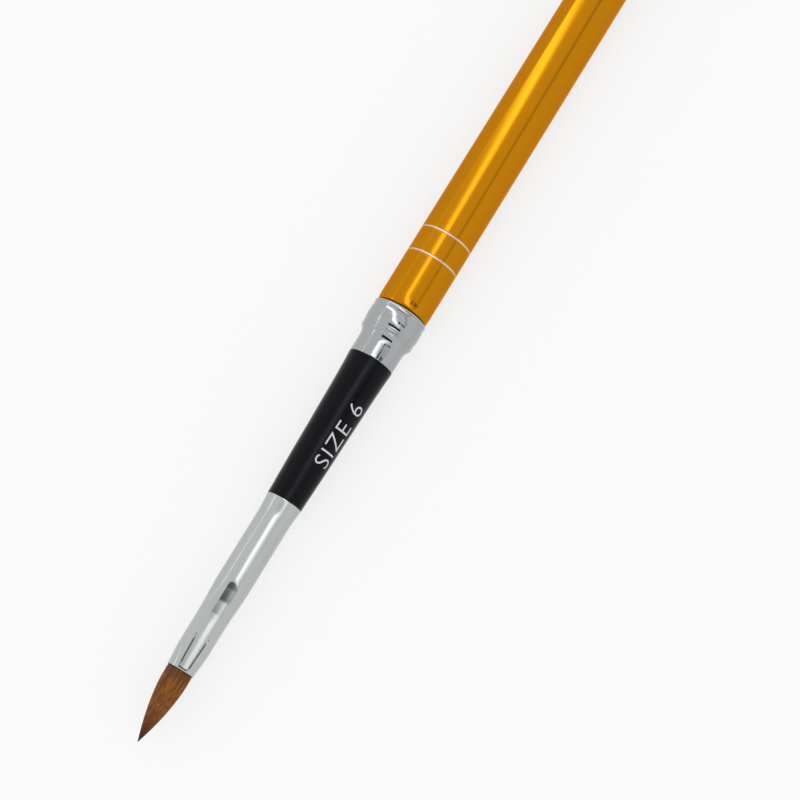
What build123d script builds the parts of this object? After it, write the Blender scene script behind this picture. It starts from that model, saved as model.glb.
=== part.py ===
from build123d import *
from math import cos, radians, sin
import os

# A pointed nail brush in two units: a brush head, and a gold tube that it pushes into.
# The tube is the handle while the hair faces out, and the travel cap while the hair faces in.
# Sizes are in millimetres. The brush lies along X with its hair towards -X, and stations along
# it count from the point of the hair.

# Hair and what ties it
hair_length = 11.2
hair_diameter = 3.9
hair_fullness = 1.9
point_diameter = 0.08
point_lean = 1.0
root_diameter = 3.2
root_end = 22.0
thread_start = 18.4
thread_diameter = 0.34
thread_turns = 4
adhesive_start = 16.6
adhesive_end = 25.0

# Ferrule
ferrule_diameter = 5.0
ferrule_wall = 0.25
lip_wall = 0.12
crimp_start = 26.6
crimp_dip = 21.4
crimp_waist = 4.55
waist_start = 15.4
waist_end = 18.1
crimp_mouth = 4.06
crimp_corner = 4.36
crimp_turn = 9
taper_start = 14.0
taper_end = 17.0
flare_start = 36.2
flare_diameter = 5.38
ferrule_end = 38.4

# Barrel
barrel_front_diameter = 5.4
neck_station = 43.4
neck_diameter = 5.72
middle_station = 51.0
middle_diameter = 6.12
barrel_rear_diameter = 6.9
barrel_end = 61.8
front_tenon_length = 9.0
rear_tenon_length = 19.6

# Collar, which stops the tube and carries the spigot
spigot_diameter = 6.9
spigot_length = 12.0
collar_bore = 6.1
collar_flare_start = 64.3
bead_diameter = 8.04
bead_width = 0.48
bead_start = 65.86
swell_diameter = 8.28
swell_crest = 68.1
shoulder_diameter = 8.2
shoulder_station = 70.15

# Handle
tube_diameter = 8.0
tube_bore = 7.0
mouth_gap = 0.15
mouth_roll = 0.07
handle_length = 100.0
groove_offsets = (8.4, 12.4)
groove_width = 0.3
groove_depth = 0.06
plug_flange = 1.2
plug_insert = 5.0

tube_mouth = shoulder_station + mouth_gap
tube_end = tube_mouth + handle_length - plug_flange
overall_length = tube_mouth + handle_length
axis_height = swell_diameter / 2

point = (-overall_length / 2, 0, axis_height)
brush_axis = Axis(point, (1, 0, 0))
lengthwise = Plane(origin=point, x_dir=(1, 0, 0), z_dir=(0, -1, 0))


def turned(degrees):
    """The lengthwise plane turned round the brush, from upright towards -Y."""
    angle = radians(degrees)
    return Plane(origin=point, x_dir=(1, 0, 0), z_dir=(0, -cos(angle), -sin(angle)))


def ferrule_form(wall, mouth_wall):
    """The ferrule's outline drawn in by a wall's thickness: round, with four sides pressed in."""
    radius = ferrule_diameter / 2 - wall
    waist = crimp_waist / 2 - wall
    shoulder = radius + 0.02
    with BuildPart() as form:
        with BuildSketch(lengthwise):
            with BuildLine():
                Polyline(
                    (ferrule_end, flare_diameter / 2 - wall),
                    (ferrule_end, 0),
                    (hair_length, 0),
                    (hair_length, crimp_corner / 2 - mouth_wall),
                    (taper_start, radius - 0.08),
                    (taper_end, radius),
                    (flare_start, radius),
                    (flare_start + 0.9, radius + 0.04),
                    close=True,
                )
            make_face()
        revolve(axis=brush_axis)
        for quarter in (0, 90):
            with BuildSketch(turned(crimp_turn + quarter)):
                with BuildLine():
                    dip = ThreePointArc(
                        (crimp_start, shoulder),
                        (crimp_start - 2.3, radius - 0.032),
                        (crimp_dip, radius - 0.145),
                    )
                    TangentArc(dip @ 1, (waist_end, waist), tangent=dip % 1)
                    Line((waist_end, waist), (waist_start, waist))
                    mouth = (hair_length, crimp_mouth / 2 - mouth_wall)
                    lip = TangentArc((waist_start, waist), mouth, tangent=(-1, 0))
                    Polyline(lip @ 1, (hair_length - 1, crimp_mouth / 2 - mouth_wall), (hair_length - 1, 0))
                    Polyline(
                        dip @ 0,
                        (crimp_start, ferrule_diameter),
                        (ferrule_end + 1, ferrule_diameter),
                        (ferrule_end + 1, 0),
                    )
                    mirror(about=Plane.XZ)
                make_face()
            extrude(amount=ferrule_diameter, both=True, mode=Mode.INTERSECT)
    return form.part


def hair_radius(station):
    """The tuft's radius at a station: a full belly that draws in to a fine point."""
    belly = hair_diameter / 2 * (1 - (1 - station / hair_length) ** hair_fullness)
    return belly + point_diameter / 2


os.makedirs("parts", exist_ok=True)

# Ferrule: a thin plated tube, flared over the barrel and crimped square where it grips the hair.
ferrule_space = ferrule_form(ferrule_wall, lip_wall)
with BuildPart() as ferrule:
    add(ferrule_form(0, 0))
    add(ferrule_space, mode=Mode.SUBTRACT)
ferrule.part.label = "ferrule"
export_step(ferrule.part, "parts/ferrule.step")

# Hair tuft: the root is tied round, fills the crimp, and swells out of the lip to a leaning point.
root_radius = root_diameter / 2
mouth_centre = (point[0] + hair_length, 0, axis_height)
lean = radians(point_lean)
leaning = Plane(origin=mouth_centre, x_dir=(cos(lean), sin(lean), 0), z_dir=(sin(lean), -cos(lean), 0))
tuft_profile = [(0.2, 0), (-hair_length, 0)]
for station in (0, 1.5, 3.6, 6.0, 8.6):
    tuft_profile.append((station - hair_length, hair_radius(station)))
tuft_profile.append((-0.5, crimp_mouth / 2 - lip_wall + 0.01))
tuft_profile.append((0.2, crimp_mouth / 2 - lip_wall - 0.02))
with BuildPart() as hair_tuft:
    with BuildSketch(lengthwise):
        with BuildLine():
            Polyline(
                (hair_length, 0),
                (hair_length, ferrule_diameter / 2),
                (14.8, ferrule_diameter / 2),
                (17.4, root_radius),
                (root_end, root_radius),
                (root_end, 0),
                close=True,
            )
        make_face()
    revolve(axis=brush_axis)
    add(ferrule_space, mode=Mode.INTERSECT)
    with BuildSketch(leaning):
        with BuildLine():
            Polyline(*tuft_profile, close=True)
        make_face()
    revolve(axis=Axis(mouth_centre, leaning.x_dir))
hair_tuft.part.label = "hair_tuft"
export_step(hair_tuft.part, "parts/hair_tuft.step")

# Binding thread: close turns of waxed thread round the root.
thread_profile = []
for turn in range(thread_turns):
    start = thread_start + turn * thread_diameter
    thread_profile.append((start, root_radius + thread_diameter / 2))
    thread_profile.append((start + thread_diameter / 2, root_radius + thread_diameter))
thread_end = thread_start + thread_turns * thread_diameter
thread_profile.append((thread_end, root_radius + thread_diameter / 2))
thread_profile.append((thread_end, root_radius))
thread_profile.append((thread_start, root_radius))
with BuildPart() as binding_thread:
    with BuildSketch(lengthwise):
        with BuildLine():
            Polyline(*thread_profile, close=True)
        make_face()
    revolve(axis=brush_axis)
binding_thread.part.label = "binding_thread"
export_step(binding_thread.part, "parts/binding_thread.step")

# Root adhesive: resin that has filled the ferrule round the tied root.
with BuildPart() as root_adhesive:
    with BuildSketch(lengthwise):
        with BuildLine():
            Polyline(
                (adhesive_start, 0),
                (adhesive_start, ferrule_diameter / 2),
                (adhesive_end, ferrule_diameter / 2),
                (adhesive_end, 0),
                close=True,
            )
        make_face()
    revolve(axis=brush_axis)
    add(ferrule_space, mode=Mode.INTERSECT)
    add(hair_tuft.part, mode=Mode.SUBTRACT)
    add(binding_thread.part, mode=Mode.SUBTRACT)
root_adhesive.part.label = "root_adhesive"
export_step(root_adhesive.part, "parts/root_adhesive.step")

# Barrel: turned and lacquered, with a tenon glued into the ferrule and another into the collar.
edge_break = 0.05
tenon_tip = ferrule_end - front_tenon_length
tenon_end = barrel_end + rear_tenon_length
with BuildPart() as barrel:
    with BuildSketch(lengthwise):
        with BuildLine():
            Polyline(
                (tenon_tip, 0),
                (tenon_tip, ferrule_diameter / 2 - ferrule_wall - 0.3),
                (tenon_tip + 0.6, ferrule_diameter / 2 - ferrule_wall + 0.3),
                (ferrule_end, barrel_front_diameter / 2),
                (ferrule_end, 0),
                close=True,
            )
        make_face()
    revolve(axis=brush_axis)
    add(ferrule_space, mode=Mode.INTERSECT)
    with BuildSketch(lengthwise):
        with BuildLine():
            slope = Polyline(
                (ferrule_end + edge_break, barrel_front_diameter / 2),
                (neck_station, neck_diameter / 2),
                (middle_station, middle_diameter / 2),
            )
            taper = TangentArc(
                slope @ 1,
                (barrel_end - edge_break, barrel_rear_diameter / 2),
                tangent=slope % 1,
            )
            Polyline(
                taper @ 1,
                (barrel_end, barrel_rear_diameter / 2 - edge_break),
                (barrel_end, collar_bore / 2),
                (tenon_end - 0.5, collar_bore / 2),
                (tenon_end, collar_bore / 2 - 0.5),
                (tenon_end, 0),
                (ferrule_end, 0),
                (ferrule_end, barrel_front_diameter / 2 - edge_break),
                slope @ 0,
            )
        make_face()
    revolve(axis=brush_axis)
barrel.part.label = "barrel"
export_step(barrel.part, "parts/barrel.step")

# Collar: a thin plated sleeve. Two fine beads, a swell and a third bead make the stop ring, the
# short sleeve in front takes the tube when the head is stored, and the long one is the spigot.
sleeve = spigot_diameter / 2
bore = collar_bore / 2
spigot_end = shoulder_station + spigot_length
bead_crest = bead_diameter / 2
bead_root = bead_crest - 0.05
swell_start = bead_start + 2 * bead_width
swell_end = shoulder_station - 0.77
swell_radius = swell_diameter / 2
shoulder_radius = shoulder_diameter / 2
with BuildPart() as collar:
    with BuildSketch(lengthwise):
        with BuildLine():
            Polyline(
                (barrel_end, bore),
                (barrel_end, sleeve - 0.12),
                (barrel_end + 0.1, sleeve - 0.05),
                (collar_flare_start, sleeve + 0.02),
                (collar_flare_start + 0.8, sleeve + 0.14),
                (collar_flare_start + 1.3, sleeve + 0.3),
                (bead_start, bead_root - 0.07),
                (bead_start + 0.15, bead_crest),
                (bead_start + bead_width - 0.15, bead_crest),
                (bead_start + bead_width, bead_root),
                (bead_start + bead_width + 0.15, bead_crest),
                (swell_start - 0.15, bead_crest + 0.02),
                (swell_start, bead_root + 0.02),
                (swell_start + 0.6, swell_radius - 0.02),
                (swell_crest - 0.3, swell_radius),
                (swell_crest + 0.3, swell_radius),
                (swell_end - 0.5, swell_radius - 0.025),
                (swell_end, shoulder_radius - 0.05),
                (swell_end + 0.2, shoulder_radius),
                (shoulder_station - 0.2, shoulder_radius),
                (shoulder_station, shoulder_radius - 0.15),
                (shoulder_station, sleeve),
                (spigot_end - 0.5, sleeve),
                (spigot_end, sleeve - 0.2),
                (spigot_end, bore),
                close=True,
            )
        make_face()
    revolve(axis=brush_axis)
    with BuildSketch(lengthwise):
        with BuildLine():
            Polyline(
                (swell_start, sleeve + 0.1),
                (swell_crest, swell_radius - 0.45),
                (swell_end, sleeve + 0.17),
                (swell_end, bore - 0.1),
                (swell_start, bore - 0.1),
                close=True,
            )
        make_face()
    revolve(axis=brush_axis, mode=Mode.SUBTRACT)
collar.part.label = "collar"
export_step(collar.part, "parts/collar.step")

# Handle tube: drawn, with its mouth rolled in and two grooves turned through the colour.
outer = tube_diameter / 2
inner = tube_bore / 2
chamfer_size = 0.06
with BuildPart() as handle_tube:
    with BuildSketch(lengthwise):
        with BuildLine():
            Polyline(
                (tube_mouth + 0.2, outer - mouth_roll),
                (tube_mouth, outer - mouth_roll - 0.2),
                (tube_mouth, inner + 0.1),
                (tube_mouth + 0.2, inner),
                (tube_end, inner),
                (tube_end, outer - chamfer_size),
                (tube_end - chamfer_size, outer),
                (tube_mouth + 1.6, outer),
            )
            TangentArc((tube_mouth + 1.6, outer), (tube_mouth + 0.2, outer - mouth_roll), tangent=(-1, 0))
        make_face()
    revolve(axis=brush_axis)
    for offset in groove_offsets:
        middle = tube_mouth + offset
        with BuildSketch(lengthwise):
            with BuildLine():
                Polyline(
                    (middle - 0.75 * groove_width, outer + groove_depth),
                    (middle - 0.25 * groove_width, outer - groove_depth),
                    (middle + 0.25 * groove_width, outer - groove_depth),
                    (middle + 0.75 * groove_width, outer + groove_depth),
                    close=True,
                )
            make_face()
        revolve(axis=brush_axis, mode=Mode.SUBTRACT)
handle_tube.part.label = "handle_tube"
export_step(handle_tube.part, "parts/handle_tube.step")

# End plug: turned, pressed into the far end and rounded over, with a small flat in its middle.
with BuildPart() as end_plug:
    with BuildSketch(lengthwise):
        with BuildLine():
            Polyline(
                (tube_end, outer - chamfer_size),
                (tube_end, inner),
                (tube_end - plug_insert + 0.4, inner),
                (tube_end - plug_insert, inner - 0.4),
                (tube_end - plug_insert, 0),
                (overall_length, 0),
                (overall_length, outer - plug_flange),
                (overall_length - 0.1, outer - 0.62 * plug_flange),
                (overall_length - 0.35, outer - 0.29 * plug_flange),
                (overall_length - 0.7, outer - 0.1 * plug_flange),
                (tube_end + chamfer_size, outer),
                close=True,
            )
        make_face()
    revolve(axis=brush_axis)
end_plug.part.label = "end_plug"
export_step(end_plug.part, "parts/end_plug.step")
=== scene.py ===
import math
import random

import bpy
from mathutils import Matrix, Vector


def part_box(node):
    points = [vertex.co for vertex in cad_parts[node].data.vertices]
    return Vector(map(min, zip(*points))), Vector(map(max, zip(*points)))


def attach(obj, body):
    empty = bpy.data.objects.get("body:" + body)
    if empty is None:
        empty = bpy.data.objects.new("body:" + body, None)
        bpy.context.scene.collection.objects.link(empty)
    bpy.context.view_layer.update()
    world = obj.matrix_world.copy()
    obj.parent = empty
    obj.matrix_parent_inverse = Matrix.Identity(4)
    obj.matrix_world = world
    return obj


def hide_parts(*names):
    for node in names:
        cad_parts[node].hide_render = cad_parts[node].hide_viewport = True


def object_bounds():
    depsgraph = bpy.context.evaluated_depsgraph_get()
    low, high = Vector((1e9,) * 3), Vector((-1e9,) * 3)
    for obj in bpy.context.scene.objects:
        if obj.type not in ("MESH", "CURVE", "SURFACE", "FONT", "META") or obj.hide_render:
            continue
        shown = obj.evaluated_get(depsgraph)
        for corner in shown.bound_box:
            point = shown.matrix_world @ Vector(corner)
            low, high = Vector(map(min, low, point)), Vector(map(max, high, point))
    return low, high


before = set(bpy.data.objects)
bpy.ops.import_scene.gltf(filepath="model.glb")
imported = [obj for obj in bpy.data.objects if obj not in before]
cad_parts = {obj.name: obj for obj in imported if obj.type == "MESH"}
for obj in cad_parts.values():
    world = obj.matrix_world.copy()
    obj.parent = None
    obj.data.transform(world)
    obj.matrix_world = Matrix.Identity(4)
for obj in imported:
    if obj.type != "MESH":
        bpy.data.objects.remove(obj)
cad_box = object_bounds()

# ---- Camera
# It looks down on the brush from a little beyond its point and to its right, so that the brush
# runs up the picture and the far end of the handle is out of it.
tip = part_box("hair_tuft")[0][0]
axis_height = (cad_box[0][2] + cad_box[1][2]) / 2
camera_place = Vector((-0.09077, -0.04488, 0.30424))
camera_back = Vector((-0.2094, -0.1245, 0.9699)).normalized()
camera_right = Vector((0.5105, -0.8599, 0.0)).normalized()
camera_up = camera_back.cross(camera_right)
camera_data = bpy.data.cameras.new("camera")
camera_data.lens = 99
camera_data.sensor_width = 36
camera = bpy.data.objects.new("camera", camera_data)
bpy.context.collection.objects.link(camera)
turned_axes = Matrix((camera_right, camera_up, camera_back)).transposed()
camera.matrix_world = Matrix.Translation(camera_place) @ turned_axes.to_4x4()
bpy.context.scene.camera = camera
bpy.context.scene.view_settings.view_transform = "Standard"


# ---- Floor and surroundings
# A plain white table under an even white dome. What the metal mirrors hangs overhead: one long
# soft-edged strip light across the brush, a lamp to the left, and the dim shapes of a camera and
# of the far side of the room.
class Field:
    """A shader socket that can be worked with as a number."""

    def __init__(self, shader, socket):
        self.shader = shader
        self.socket = socket

    def _maths(self, operation, *others):
        return self.shader.node("ShaderNodeMath", {"operation": operation}, *others)

    def __add__(self, other):
        return self._maths("ADD", self, other)

    def __radd__(self, other):
        return self._maths("ADD", other, self)

    def __sub__(self, other):
        return self._maths("SUBTRACT", self, other)

    def __rsub__(self, other):
        return self._maths("SUBTRACT", other, self)

    def __mul__(self, other):
        return self._maths("MULTIPLY", self, other)

    def __rmul__(self, other):
        return self._maths("MULTIPLY", other, self)

    def __truediv__(self, other):
        return self._maths("DIVIDE", self, other)

    def __pow__(self, other):
        return self._maths("POWER", self, other)

    def __abs__(self):
        return self._maths("ABSOLUTE", self)

    def under(self, limit, soft):
        """1 where the value is under the limit, falling to 0 over a soft step past it."""
        return self.shader.node(
            "ShaderNodeMapRange", {"interpolation_type": "SMOOTHSTEP"}, self, limit - soft, limit + soft, 1.0, 0.0
        )


class Shader:
    """A material, with one method that adds any node and one that links its surface."""

    def __init__(self, name, tree=None):
        if tree is None:
            self.material = bpy.data.materials.new(name)
            self.material.use_nodes = True
            tree = self.material.node_tree
        self.tree = tree
        self.tree.nodes.clear()

    def node(self, kind, settings, *values, output=0, **named):
        made = self.tree.nodes.new(kind)
        for key, value in settings.items():
            if key == "stops":
                ramp = made.color_ramp
                while len(ramp.elements) < len(value):
                    ramp.elements.new(0.5)
                for element, (place, colour) in zip(ramp.elements, value):
                    element.position = place
                    element.color = (*colour, 1)
            else:
                setattr(made, key, value)
        for index, value in enumerate(values):
            self.feed(made.inputs[index], value)
        for key, value in named.items():
            self.feed(made.inputs[key.replace("_", " ")], value)
        return Field(self, made.outputs[output])

    def feed(self, socket, value):
        if isinstance(value, Field):
            self.tree.links.new(value.socket, socket)
        elif value is not None:
            if socket.type == "RGBA" and len(value) == 3:
                value = (*value, 1)
            socket.default_value = value

    def mix(self, share, first, second):
        """Two colours mixed by a share from 0 to 1."""
        made = self.tree.nodes.new("ShaderNodeMix")
        made.data_type = "RGBA"
        self.feed(made.inputs["Factor"], share)
        self.feed(made.inputs[6], first)
        self.feed(made.inputs[7], second)
        return Field(self, made.outputs[2])

    def place(self, stretch=(1, 1, 1), turn=(0, 0, 0), centre=(0, 0, 0)):
        """Object coordinates, stretched and turned about a centre."""
        found = self.node("ShaderNodeTexCoord", {}, output=3)
        return self.node("ShaderNodeMapping", {"vector_type": "TEXTURE"}, found, centre, turn, stretch)

    def split(self, vector, part):
        return self.node("ShaderNodeSeparateXYZ", {}, vector, output=part)

    def noise(self, vector, scale, detail=2.0, roughness=0.5):
        return self.node("ShaderNodeTexNoise", {}, Vector=vector, Scale=scale, Detail=detail, Roughness=roughness)

    def bump(self, height, distance, strength=1.0):
        return self.node("ShaderNodeBump", {}, Strength=strength, Distance=distance, Height=height)

    def finish(self, surface):
        made = self.tree.nodes.new("ShaderNodeOutputMaterial")
        self.tree.links.new(surface.socket, made.inputs[0])
        return self.material


def flat_card(name, centre, across, along, material):
    """A plane drawn by its two half-sides, for the floor and for what the metal mirrors."""
    bpy.ops.object.select_all(action="DESELECT")
    bpy.ops.mesh.primitive_plane_add(size=2, location=(0, 0, 0))
    card = bpy.context.object
    card.name = name
    across, along = Vector(across), Vector(along)
    for vertex in card.data.vertices:
        vertex.co = Vector(centre) + across * vertex.co.x + along * vertex.co.y
    card.data.materials.append(material)
    return card


white_table = Shader("white_table")
light_path = white_table.tree.nodes.new("ShaderNodeLightPath")
seen = Field(white_table, light_path.outputs["Is Camera Ray"])
mirrored = Field(white_table, light_path.outputs["Is Glossy Ray"])
through = Field(white_table, light_path.outputs["Is Transmission Ray"])
shown = white_table.node("ShaderNodeMath", {"operation": "ADD", "use_clamp": True}, seen, mirrored + through)
grain = white_table.noise(white_table.place(), 900.0)
paper = white_table.mix(grain, (0.86, 0.86, 0.86), (0.90, 0.90, 0.90))
lit_table = white_table.node("ShaderNodeBsdfDiffuse", {}, paper, 0.5)
clear_table = white_table.node("ShaderNodeEmission", {}, (1.0, 1.0, 1.0), 1.0)
part_clear = white_table.node("ShaderNodeMixShader", {}, shown * 0.72, lit_table, clear_table)
flat_card("floor", (0, 0, 0), (2, 0, 0), (0, 2, 0), white_table.finish(part_clear))

world = bpy.data.worlds.new("white_dome")
world.use_nodes = True
bpy.context.scene.world = world
dome = Shader("white_dome", world.node_tree)
dome_light = dome.node("ShaderNodeBackground", {}, (1.0, 1.0, 1.0), 1.0)
dome_out = dome.tree.nodes.new("ShaderNodeOutputWorld")
dome.tree.links.new(dome_light.socket, dome_out.inputs[0])


def overhead(name, height, places, level, warm=0.0, start_level=1.0, soft=0.45):
    """A soft-edged ribbon overhead that only metal sees, through (x, y, half-width) places in
    metres. Its level can grow along it from a share of the whole.
    """
    bpy.ops.object.select_all(action="DESELECT")
    bpy.ops.mesh.primitive_grid_add(x_subdivisions=2, y_subdivisions=len(places) - 1, size=2)
    ribbon = bpy.context.object
    ribbon.name = name
    rows = len(places) - 1
    for vertex in ribbon.data.vertices:
        side, row = vertex.co.x, round((vertex.co.y + 1) / 2 * rows)
        x, y, half = places[row]
        before, after = places[max(row - 1, 0)], places[min(row + 1, rows)]
        run = Vector((after[0] - before[0], after[1] - before[1], 0)).normalized()
        vertex.co = Vector((x, y, height)) + Vector((run.y, -run.x, 0)) * side * half
    shade = Shader(name)
    span = shade.node("ShaderNodeTexCoord", {}, output=2)
    off_middle = abs(shade.split(span, 0) - 0.5) * 2
    along = shade.split(span, 1)
    ends = abs(along - 0.5).under(0.48, 0.02)
    grown = shade.node("ShaderNodeMapRange", {"interpolation_type": "SMOOTHSTEP"}, along, 0.1, 0.4, start_level, 1.0)
    tint = (level * (1 - warm), level, level * (1 - 0.2 * warm))
    glow = shade.node("ShaderNodeEmission", {}, tint, 1.0)
    clear = shade.node("ShaderNodeBsdfTransparent", {}, (1, 1, 1))
    share = off_middle.under(1 - soft, soft) * ends * grown
    ribbon.data.materials.append(shade.finish(shade.node("ShaderNodeMixShader", {}, share, clear, glow)))
    ribbon.visible_camera = False
    ribbon.visible_diffuse = False
    ribbon.visible_shadow = False
    ribbon.visible_transmission = False
    ribbon.visible_volume_scatter = False


front_strip = [(-0.060, -0.330, 0.110), (-0.010, -0.190, 0.095), (0.030, -0.090, 0.080), (0.068, 0.015, 0.072)]
front_strip += [(0.105, 0.060, 0.060), (0.160, 0.110, 0.050), (0.200, 0.170, 0.046)]
overhead("strip_front", 0.5, front_strip, 2.9, start_level=0.36)
rear_strip = [(0.110, 0.010, 0.050), (0.140, 0.075, 0.050), (0.172, 0.140, 0.052), (0.207, 0.210, 0.054)]
rear_strip += [(0.240, 0.295, 0.056), (0.275, 0.400, 0.058), (0.315, 0.510, 0.060), (0.355, 0.620, 0.062)]
rear_strip += [(0.410, 0.760, 0.066), (0.480, 0.950, 0.070)]
overhead("strip_rear", 0.505, rear_strip, 4.8, warm=0.15, soft=0.6)
overhead("lamp_left", 0.5, [(-0.60, 0.80, 0.16), (-0.25, 0.80, 0.16), (-0.04, 0.80, 0.16), (0.06, 0.80, 0.12)], 1.9)
overhead("lamp_left_far", 0.51, [(-0.05, 0.80, 0.14), (0.40, 0.80, 0.14), (1.0, 0.80, 0.16)], 1.25)
dim_camera = [(-0.118, 0.075, 0.060), (-0.124, -0.12, 0.060), (-0.135, -0.30, 0.060)]
overhead("dim_camera", 0.304, dim_camera, 0.04, soft=0.06)
dim_near = [(0.070, -0.160, 0.024), (0.074, -0.215, 0.024), (0.078, -0.265, 0.024)]
overhead("dim_room_near", 0.495, dim_near, 0.10, soft=0.06)
dim_edge = [(0.080, -0.315, 0.026), (0.088, -0.45, 0.026), (0.105, -0.64, 0.026)]
overhead("dim_room_edge", 0.490, dim_edge, 0.12, soft=0.06)
overhead("dim_room_far", 0.485, [(0.150, -0.62, 0.05), (0.20, -0.49, 0.05), (0.26, -0.35, 0.05), (0.33, -0.20, 0.05)], 0.45)


# ---- Handle tube
# A drawn aluminium tube, polished and anodised a deep gold. Its mouth is rolled in over the
# collar, and two fine grooves are turned through the colour to the bare metal.
def station(distance):
    """Where a distance from the point of the hair, in millimetres, lies along the brush."""
    return tip + distance / 1000


def turn_piece(name, profile, steps=128):
    """A chain of (station, radius) points in millimetres, spun round the brush's axis. Long runs
    get a ring close to each end, which keeps their shading straight."""
    bpy.ops.object.select_all(action="DESELECT")
    bpy.ops.mesh.primitive_plane_add(size=0.002, location=(0, 0, 0))
    piece = bpy.context.object
    piece.name = name
    piece.data.name = name
    bpy.ops.object.mode_set(mode="EDIT")
    bpy.ops.mesh.select_all(action="SELECT")
    bpy.ops.mesh.merge(type="CENTER")
    held = [profile[0]]
    for before, after in zip(profile, profile[1:]):
        run = math.dist(before, after)
        if run > 0.4:
            for share in (0.05 / run, 1 - 0.05 / run):
                held.append([a + (b - a) * share for a, b in zip(before, after)])
        held.append(after)
    here = Vector((0, 0, 0))
    for index, (distance, radius) in enumerate(held):
        there = Vector((station(distance), 0, axis_height + radius / 1000))
        if index == 0:
            bpy.ops.transform.translate(value=there - here)
        else:
            bpy.ops.mesh.extrude_region_move(TRANSFORM_OT_translate={"value": there - here})
        here = there
    bpy.ops.mesh.select_all(action="SELECT")
    bpy.ops.mesh.spin(steps=steps, angle=2 * math.pi, center=(0, 0, axis_height), axis=(1, 0, 0))
    bpy.ops.mesh.select_all(action="SELECT")
    bpy.ops.mesh.remove_doubles(threshold=0.000001)
    bpy.ops.mesh.normals_make_consistent(inside=False)
    bpy.ops.object.mode_set(mode="OBJECT")
    bpy.ops.object.shade_smooth_by_angle(angle=math.radians(24))
    return piece


def arc(centre, radius, start, end, count):
    """Points on an arc in the half-section, by angles in degrees from the way to the handle."""
    points = []
    for step in range(count + 1):
        angle = math.radians(start + (end - start) * step / count)
        points.append((centre[0] + radius * math.cos(angle), centre[1] + radius * math.sin(angle)))
    return points


tube_mouth = 70.3
tube_end = 169.1
tube_profile = [(tube_mouth + 0.25, 3.50), (tube_mouth + 0.02, 3.62), (tube_mouth, 3.66)]
tube_profile += arc((tube_mouth + 0.22, 3.70), 0.22, 180, 105, 8)
tube_profile += [(tube_mouth + 0.45, 3.945), (tube_mouth + 0.8, 3.973), (tube_mouth + 1.2, 3.992)]
tube_profile += [(tube_mouth + 1.6, 4.0), (tube_mouth + 4, 4.0)]
for groove in (tube_mouth + 8.4, tube_mouth + 12.4):
    tube_profile += [(groove - 0.19, 4.0), (groove - 0.15, 3.99), (groove - 0.08, 3.95)]
    tube_profile += [(groove + 0.08, 3.95), (groove + 0.15, 3.99), (groove + 0.19, 4.0)]
tube_profile += [(tube_mouth + 30, 4.0), (tube_mouth + 60, 4.0), (tube_end - 0.1, 4.0), (tube_end, 3.94)]
tube_profile += [(tube_end, 3.5), (tube_mouth + 0.25, 3.50)]
gold_tube = turn_piece("gold_tube", tube_profile)


def gold_finish(name, grooves):
    """Polished gold anodising over drawn aluminium, cut through to bare metal at the grooves."""
    gold = Shader(name)
    drawn = gold.place(stretch=(0.012, 0.00035, 0.00035))
    draw_lines = gold.noise(drawn, 1.0, 3.0)
    cloud = gold.noise(gold.place(stretch=(0.03, 0.004, 0.004)), 1.0, 2.0)
    colour = gold.mix(cloud, (0.475, 0.178, 0.0012), (0.520, 0.205, 0.0018))
    rough = 0.09 + 0.05 * draw_lines + 0.04 * cloud
    along = gold.split(gold.place(), 0)
    bare = None
    for groove in grooves:
        band = abs(along - station(groove)).under(0.00013, 0.00004)
        bare = band if bare is None else bare + band
    if bare is not None:
        colour = gold.mix(bare, colour, (0.66, 0.54, 0.45))
        rough = rough + 0.12 * bare
    normal = gold.bump(draw_lines, 0.0000012)
    surface = gold.node(
        "ShaderNodeBsdfPrincipled",
        {},
        Base_Color=colour,
        Metallic=1.0,
        Roughness=rough,
        Normal=normal,
        Specular_Tint=(1.0, 0.62, 0.10, 1.0),
        Coat_Weight=0.08,
        Coat_Roughness=0.1,
    )
    return gold.finish(surface)


gold_tube.data.materials.append(gold_finish("gold_anodised_tube", (tube_mouth + 8.4, tube_mouth + 12.4)))
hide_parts("handle_tube")
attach(gold_tube, "handle")

# ---- End plug
# A turned aluminium plug, anodised like the tube, pressed into its far end and rounded over with
# a small flat left in the middle.
plug_profile = [(tube_end - 5.0, 0), (tube_end - 5.0, 3.1), (tube_end - 4.6, 3.49), (tube_end, 3.49)]
plug_profile += [(tube_end, 3.93), (tube_end + 0.06, 3.995)]
plug_profile += arc((tube_end + 0.06, 2.80), 1.195, 88, 20, 12)
plug_profile += [(170.29, 2.95), (170.3, 2.80), (170.3, 0)]
gold_plug = turn_piece("gold_plug", plug_profile)
gold_plug.data.materials.append(gold_finish("gold_anodised_plug", ()))
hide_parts("end_plug")
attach(gold_plug, "handle")

# ---- Collar
# A thin brass sleeve, rolled and chrome plated. It is glued on the barrel's end, its rings stop
# the tube, and its long rear part is the spigot that pushes into the tube.
collar_profile = [(61.8, 3.05), (61.8, 3.36), (61.83, 3.40), (61.9, 3.42), (62.5, 3.43), (64.3, 3.44)]
collar_profile += [(64.65, 3.455), (64.95, 3.49), (65.2, 3.55), (65.4, 3.62), (65.57, 3.71), (65.7, 3.80)]
collar_profile += [(65.80, 3.89)]
collar_profile += arc((66.10, 3.85), 0.17, 160, 35, 8) + [(66.34, 3.975)]
collar_profile += arc((66.58, 3.86), 0.18, 140, 40, 8) + [(66.81, 3.985)]
collar_profile += [(66.86, 3.99), (66.93, 4.012), (67.1, 4.05), (67.3, 4.09), (67.45, 4.112), (67.6, 4.126)]
collar_profile += [(67.8, 4.136), (68.1, 4.14), (68.4, 4.137), (68.8, 4.12), (69.15, 4.09)]
collar_profile += [(69.33, 4.065), (69.40, 4.045)]
collar_profile += [(69.47, 4.06), (69.60, 4.09), (69.80, 4.10), (69.95, 4.095), (70.08, 4.06), (70.14, 3.99)]
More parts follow.
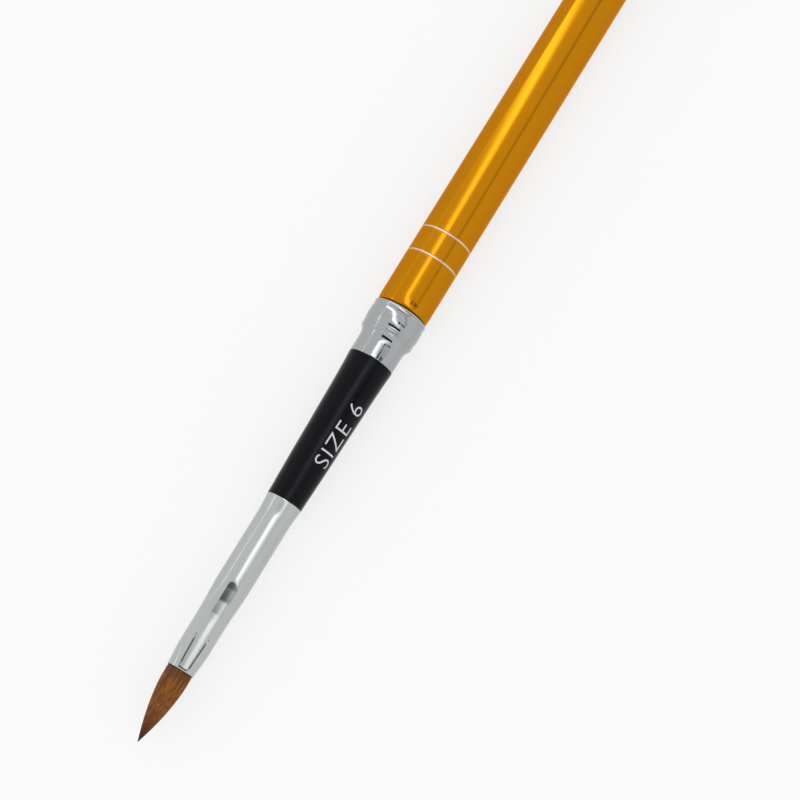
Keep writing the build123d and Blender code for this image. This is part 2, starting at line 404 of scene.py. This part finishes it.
collar_profile += [(70.15, 3.90), (70.15, 3.45), (81.6, 3.45), (82.0, 3.38), (82.15, 3.22), (82.15, 3.05)]
collar_profile += [(61.8, 3.05)]
chrome_collar = turn_piece("chrome_collar", collar_profile)
chrome = Shader("chrome_plate")
plating = chrome.noise(chrome.place(), 2600.0, 3.0)
pits = chrome.noise(chrome.place(), 9000.0, 1.0)
turned_lines = chrome.noise(chrome.place(stretch=(0.00012, 0.01, 0.01)), 1.0, 2.0)
chrome_colour = chrome.mix(plating, (0.335, 0.355, 0.360), (0.405, 0.420, 0.425))
chrome_relief = chrome.bump(plating + 0.4 * turned_lines + 0.3 * pits, 0.0000016)
chrome_surface = chrome.node(
    "ShaderNodeBsdfPrincipled",
    {},
    Base_Color=chrome_colour,
    Metallic=1.0,
    Roughness=0.05 + 0.05 * plating,
    Normal=chrome_relief,
)
chrome_collar.data.materials.append(chrome.finish(chrome_surface))
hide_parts("collar")
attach(chrome_collar, "brush_head")

# ---- Barrel
# A turned hardwood barrel under several coats of black lacquer, flatted and polished. It is
# slimmest at the ferrule and flares a little where the collar takes it.
barrel_profile = [(29.4, 0), (29.4, 1.95), (30.0, 2.25), (36.4, 2.25), (37.1, 2.29), (38.4, 2.43), (38.4, 2.65)]
barrel_profile += [(38.43, 2.69), (38.5, 2.705), (39.9, 2.735), (41.2, 2.785), (42.7, 2.83), (44.4, 2.885)]
barrel_profile += [(46.1, 2.935), (48.0, 2.975), (49.5, 3.01), (51.2, 3.06), (52.9, 3.11), (54.6, 3.152)]
barrel_profile += [(56.4, 3.195), (58.1, 3.255), (59.8, 3.33), (60.8, 3.385), (61.6, 3.435), (61.76, 3.44)]
barrel_profile += [(61.8, 3.40), (61.8, 3.05), (80.9, 3.05), (81.4, 2.55), (81.4, 0)]
black_barrel = turn_piece("black_barrel", barrel_profile)
lacquer = Shader("black_lacquer")
lacquer_wave = lacquer.noise(lacquer.place(), 700.0, 2.0)
lacquer_fine = lacquer.noise(lacquer.place(), 6000.0, 2.0)
lacquer_colour = lacquer.mix(lacquer_wave, (0.0008, 0.0012, 0.0028), (0.0016, 0.0022, 0.0042))
lacquer_surface = lacquer.node(
    "ShaderNodeBsdfPrincipled",
    {},
    Base_Color=lacquer_colour,
    Roughness=0.10 + 0.10 * lacquer_fine,
    Normal=lacquer.bump(lacquer_wave + 0.25 * lacquer_fine, 0.000002),
    Specular_IOR_Level=0.12,
)
black_barrel.data.materials.append(lacquer.finish(lacquer_surface))
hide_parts("barrel")
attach(black_barrel, "brush_head")

# ---- Size mark
# A plain size mark, pad printed on the lacquer in pale grey ink. It reads from the hair towards
# the handle and wraps with the barrel.
bpy.ops.object.select_all(action="DESELECT")
bpy.ops.object.text_add(location=(0, 0, 0))
size_mark = bpy.context.object
size_mark.data.body = "SIZE 6"
size_mark.data.size = 0.0037
size_mark.data.offset = -0.000045
size_mark.data.space_character = 1.08
size_mark.data.resolution_u = 4
bpy.ops.object.convert(target="MESH")
size_mark.name = "size_mark"
bpy.ops.object.mode_set(mode="EDIT")
for cut in range(30):
    bpy.ops.mesh.select_all(action="SELECT")
    bpy.ops.mesh.bisect(plane_co=(0, -0.0008 + 0.00013 * cut, 0), plane_no=(0, 1, 0))
for cut in range(30):
    bpy.ops.mesh.select_all(action="SELECT")
    bpy.ops.mesh.bisect(plane_co=(0.0005 * cut, 0, 0), plane_no=(1, 0, 0))
bpy.ops.object.mode_set(mode="OBJECT")
mark_start = station(44.8)
mark_foot = math.radians(-66)
barrel_sizes = [(41.2, 2.785), (44.4, 2.885), (46.1, 2.935), (48.0, 2.975), (49.5, 3.01), (51.2, 3.06), (52.9, 3.11)]
barrel_sizes += [(54.6, 3.152), (56.4, 3.195), (58.1, 3.255), (59.8, 3.33)]


def lacquer_radius(place):
    """The barrel's radius in metres at a place along the brush."""
    distance = (place - tip) * 1000
    for (near, small), (far, large) in zip(barrel_sizes, barrel_sizes[1:]):
        if near <= distance <= far:
            return (small + (large - small) * (distance - near) / (far - near)) / 1000


for vertex in size_mark.data.vertices:
    along = mark_start + vertex.co.x
    surface = lacquer_radius(along)
    around = mark_foot + vertex.co.y / surface
    lifted = surface + 0.000008
    vertex.co = Vector((along, math.sin(around) * lifted, axis_height + math.cos(around) * lifted))
size_mark.data.update()
ink = Shader("pale_ink")
ink_wear = ink.noise(ink.place(), 5200.0, 2.0)
ink_surface = ink.node(
    "ShaderNodeBsdfPrincipled",
    {},
    Base_Color=ink.mix(ink_wear, (0.42, 0.43, 0.45), (0.72, 0.73, 0.75)),
    Roughness=0.55,
    Normal=ink.bump(ink_wear, 0.000003),
)
size_mark.data.materials.append(ink.finish(ink_surface))
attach(size_mark, "brush_head")

# ---- Ferrule
# A seamless brass tube, nickel plated and polished, 0.25 mm thick. It is flared over the barrel,
# and four sides are pressed in over the tied root so that the hair can't turn or pull out.
ferrule_mouth = 11.2
crimp_turn = math.radians(9)
bow = 3.3
upper_press = [(25.25, 2.505), (24.0, 2.415), (22.0, 2.29), (20.0, 2.21), (19.2, 2.195), (18.5, 2.19), (16.5, 2.19)]
upper_press += [(11.4, 2.17), (11.25, 2.15), (11.2, 2.08)]
side_press = [(25.6, 2.505), (24.3, 2.485), (23.2, 2.45), (22.1, 2.405), (21.0, 2.34), (19.9, 2.305), (18.8, 2.28)]
side_press += [(14.5, 2.275), (13.4, 2.20), (12.6, 2.13), (11.8, 2.06), (11.2, 2.02)]


def pressed_height(distance, side):
    """How far a pressed side stands from the axis: the upper and lower pair, or the other two."""
    press = side_press if side % 2 else upper_press
    for (near, high), (far, low) in zip(press, press[1:]):
        if near >= distance >= far:
            return low + (high - low) * (distance - far) / (near - far)
    return 2.7


def corner_radius(distance):
    """The round tube's radius, which draws in a little at the mouth."""
    if distance > 17:
        return 2.5
    if distance > 14:
        return 2.42 + 0.08 * (distance - 14) / 3
    return 2.18 + 0.24 * (distance - ferrule_mouth) / 2.8


def press_crimp(piece, wall_of):
    """Moves each point of a round piece in to the nearest pressed side, with soft corners."""
    for vertex in piece.data.vertices:
        distance = (vertex.co.x - tip) * 1000
        if distance > 27:
            continue
        high = (vertex.co.z - axis_height) * 1000
        left = vertex.co.y * 1000
        radius = math.hypot(high, left)
        if radius < 0.01:
            continue
        angle = math.atan2(-left, high) - crimp_turn
        side = round(angle / (math.pi / 2))
        nearest = angle - side * math.pi / 2
        wall = wall_of(radius, distance)
        rounded = corner_radius(distance) - wall
        offset = bow - pressed_height(distance, side)
        pressed = math.sqrt((bow - wall) ** 2 - (offset * math.sin(nearest)) ** 2) - offset * math.cos(nearest)
        soft = 0.02
        overlap = max(soft - abs(rounded - pressed), 0) / soft
        reach = min(rounded, pressed) - overlap**2 * soft / 4
        if wall == 0 and side % 2 == 0 and 12.0 < distance < 16.6:
            for mark in (-0.30, 0.46):
                off_mark = (nearest - mark - math.copysign(0.02, mark) * (distance - 14)) * 2.2 / 0.11
                reach -= 0.045 * math.exp(-off_mark * off_mark) * min((16.6 - distance) / 0.3, 1)
        scale = reach / radius
        vertex.co.y *= scale
        vertex.co.z = axis_height + (vertex.co.z - axis_height) * scale


ferrule_profile = [(11.2, 2.10)]
outside = [11.203, 11.22]
distance = 11.3
while distance < 27.05:
    outside.append(distance)
    distance += 0.15
ferrule_profile += [(11.2, 2.17)] + [(place, 2.5) for place in outside]
ferrule_profile += [(32, 2.5), (35.6, 2.5), (35.9, 2.503), (36.2, 2.512), (36.5, 2.530), (37.0, 2.570)]
ferrule_profile += [(37.7, 2.628), (38.2, 2.668), (38.33, 2.677), (38.38, 2.672), (38.4, 2.65)]
ferrule_profile += [(38.4, 2.44), (37.1, 2.295), (36.2, 2.25), (27.2, 2.25)]
ferrule_profile += [(place, 2.25) for place in (26, 24, 22, 20, 18, 16, 14, 13, 12, 11.4, 11.2)]
bright_ferrule = turn_piece("bright_ferrule", ferrule_profile + [(11.2, 2.10)], steps=288)


def ferrule_wall(radius, distance):
    """No wall to take off outside, and the sheet's thickness inside, less at the drawn lip."""
    if radius > 2.4:
        return 0.0
    if distance < 11.201 and radius > 2.15:
        return 0.02
    if distance < 11.201 and radius > 2.05:
        return 0.09
    return 0.12 if distance < 11.3 else 0.25


press_crimp(bright_ferrule, ferrule_wall)
bright_ferrule.data.update()
nickel = Shader("nickel_plate")
nickel_cloud = nickel.noise(nickel.place(stretch=(0.006, 0.0012, 0.0012)), 1.0, 3.0)
nickel_grain = nickel.noise(nickel.place(stretch=(0.0016, 0.00012, 0.00012)), 1.0, 2.0)
nickel_pits = nickel.noise(nickel.place(), 8000.0, 1.0)
nickel_colour = nickel.mix(nickel_cloud, (0.425, 0.448, 0.442), (0.475, 0.496, 0.490))
round_brush = nickel.place(centre=(0, 0, axis_height))
turn_angle = nickel.node(
    "ShaderNodeMath", {"operation": "ARCTAN2"}, nickel.split(round_brush, 1) * -1, nickel.split(round_brush, 2)
)
from_mouth = nickel.split(round_brush, 0) - station(14)
# Painted dark reflection: two near-black streaks along the pressed creases near the mouth, painted into the nickel's
# colour in place of the dark reflections that the creases catch.
for mark, spread in ((-0.30, -20.0), (0.46, 20.0)):
    off_line = abs(turn_angle - crimp_turn - mark - from_mouth * spread)
    crease_painted_reflection = off_line.under(0.055, 0.030) * abs(from_mouth + 0.0001).under(0.0021, 0.0004)
    nickel_colour = nickel.mix(crease_painted_reflection * 0.9, nickel_colour, (0.030, 0.032, 0.042))

nickel_surface = nickel.node(
    "ShaderNodeBsdfPrincipled",
    {},
    Base_Color=nickel_colour,
    Metallic=1.0,
    Roughness=0.08 + 0.05 * nickel_cloud + 0.03 * nickel_grain,
    Normal=nickel.bump(nickel_grain + 0.5 * nickel_cloud + 0.2 * nickel_pits, 0.0000006),
)
bright_ferrule.data.materials.append(nickel.finish(nickel_surface))
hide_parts("ferrule")
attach(bright_ferrule, "brush_head")

# ---- Hair tuft
# Some hundreds of fine brown hairs, tied at the root, cupped and set to a point with a little
# gum. The body of the tuft is one closed form, and loose hairs lie over it.
hair_length = 11.2
hair_lean = math.radians(1.0)


def tuft_radius(distance):
    """The tuft's radius at a station: a full belly that draws in to a fine point."""
    return 1.95 * (1 - (1 - distance / hair_length) ** 1.9) + 0.04


def leaning(distance, across, high):
    """A place in the tuft, swung a little to the right with its point."""
    back = distance - hair_length
    x = station(hair_length) + (back * math.cos(hair_lean) - across * math.sin(hair_lean)) / 1000
    y = (back * math.sin(hair_lean) + across * math.cos(hair_lean)) / 1000
    return Vector((x, y, axis_height + high / 1000))


tuft_profile = [(0.02, 0), (0.03, 0.02)]
for step in range(1, 26):
    place = 0.1 + 10.6 * (step / 25) ** 1.3
    tuft_profile.append((place, tuft_radius(place) * 0.97 - 0.02))
tuft_profile += [(11.2, 1.86), (11.6, 1.85), (14.8, 1.9), (17.4, 1.6), (22.0, 1.6), (22.0, 0)]
tuft_body = turn_piece("tuft_body", tuft_profile, steps=96)
for vertex in tuft_body.data.vertices:
    distance = (vertex.co.x - tip) * 1000
    if distance < hair_length:
        vertex.co = leaning(distance, vertex.co.y * 1000, (vertex.co.z - axis_height) * 1000)
tuft_body.data.update()

random.seed(11)
hair_curve = bpy.data.curves.new("hairs", "CURVE")
hair_curve.dimensions = "3D"
hair_curve.bevel_depth = 0.000042
hair_curve.bevel_resolution = 0
hair_curve.resolution_u = 2
hair_count = 620
for number in range(hair_count):
    round_turn = 2 * math.pi * (number * 0.61803398875 % 1)
    depth = 0.86 + 0.14 * random.random() ** 0.5
    end = 0.05 + 2.9 * random.random() ** 2.2
    drift = random.gauss(0, 0.05)
    wave = random.gauss(0, 0.02)
    line = hair_curve.splines.new("NURBS")
    line.points.add(6)
    for index, point in enumerate(line.points):
        share = index / 6
        distance = 11.9 + (end - 11.9) * share
        free = max(0, 1 - distance / hair_length)
        spread = min(tuft_radius(min(distance, 10.6)), 1.87 + 0.5 * free) * (depth + (1 - depth) * free * 0.6)
        angle = round_turn + drift * share + wave * math.sin(share * 9 + number)
        if distance > 11:
            spread = min(spread, 1.84)
        spread = max(spread - 0.03, 0.005)
        placed = leaning(distance, math.cos(angle) * spread, math.sin(angle) * spread)
        point.co = (*placed, 1)
        point.radius = 1.0 - 0.75 * share**3
    line.order_u = 3
    line.use_endpoint_u = True
hairs = bpy.data.objects.new("hairs", hair_curve)
bpy.context.collection.objects.link(hairs)
bpy.ops.object.select_all(action="DESELECT")
hairs.select_set(True)
bpy.context.view_layer.objects.active = hairs
bpy.ops.object.convert(target="MESH")
hairs = bpy.context.object
bpy.ops.object.shade_smooth()


def hair_finish(name, light, dark):
    """Brown hair: each hair its own shade, the point darker where the gum holds it."""
    hair = Shader(name)
    each = hair.noise(hair.place(stretch=(0.009, 0.00011, 0.00011)), 1.0, 2.0)
    lock = hair.noise(hair.place(stretch=(0.02, 0.0007, 0.0007)), 1.0, 1.0)
    spread = hair.node("ShaderNodeMapRange", {"interpolation_type": "SMOOTHSTEP"}, each, 0.3, 0.7, 0.0, 1.0)
    colour = hair.mix(spread * 0.85 + lock * 0.15, dark, light)
    along = hair.split(hair.place(), 0)
    tipped = (along - station(0)).under(0.0030, 0.0032)
    colour = hair.mix(tipped * 0.85, colour, (0.040, 0.0125, 0.0055))
    surface = hair.node(
        "ShaderNodeBsdfPrincipled",
        {},
        Base_Color=colour,
        Roughness=0.42 + 0.2 * each,
        Normal=hair.bump(each, 0.00002),
        Specular_IOR_Level=0.15,
    )
    return hair.finish(surface)


hairs.data.materials.append(hair_finish("hair_strands", (0.400, 0.150, 0.028), (0.130, 0.042, 0.010)))
# The tuft body under the loose hairs takes a darker copy of the hair colours: painted shade for the depth between
# the hairs.
tuft_body.data.materials.append(hair_finish("hair_body_painted_shade", (0.190, 0.066, 0.014), (0.075, 0.024, 0.006)))
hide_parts("hair_tuft")
for piece in (tuft_body, hairs):
    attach(piece, "brush_head")

# ---- Binding thread and root adhesive
# Waxed cotton thread ties the root inside the ferrule, and amber epoxy fills the space round it.
# Neither shows from outside, so their solids stay as they are with their own finishes.
thread = Shader("waxed_thread")
ply = thread.node(
    "ShaderNodeTexWave", {"wave_type": "BANDS"}, thread.place(turn=(0, 0, 0.5)), Scale=2600.0, Distortion=1.5
)
thread_surface = thread.node(
    "ShaderNodeBsdfPrincipled",
    {},
    Base_Color=thread.mix(ply, (0.50, 0.42, 0.30), (0.72, 0.65, 0.50)),
    Roughness=0.7,
    Normal=thread.bump(ply, 0.00003),
)
amber = Shader("amber_resin")
bubbles = amber.noise(amber.place(), 2400.0, 2.0)
amber_surface = amber.node(
    "ShaderNodeBsdfPrincipled",
    {},
    Base_Color=amber.mix(bubbles, (0.42, 0.20, 0.035), (0.60, 0.33, 0.08)),
    Roughness=0.2 + 0.2 * bubbles,
    Normal=amber.bump(bubbles, 0.00001),
)
for node_name, finish in (
    ("binding_thread", thread.finish(thread_surface)),
    ("root_adhesive", amber.finish(amber_surface)),
):
    node_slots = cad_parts[node_name].material_slots
    for node_slot in node_slots:
        node_slot.material = finish
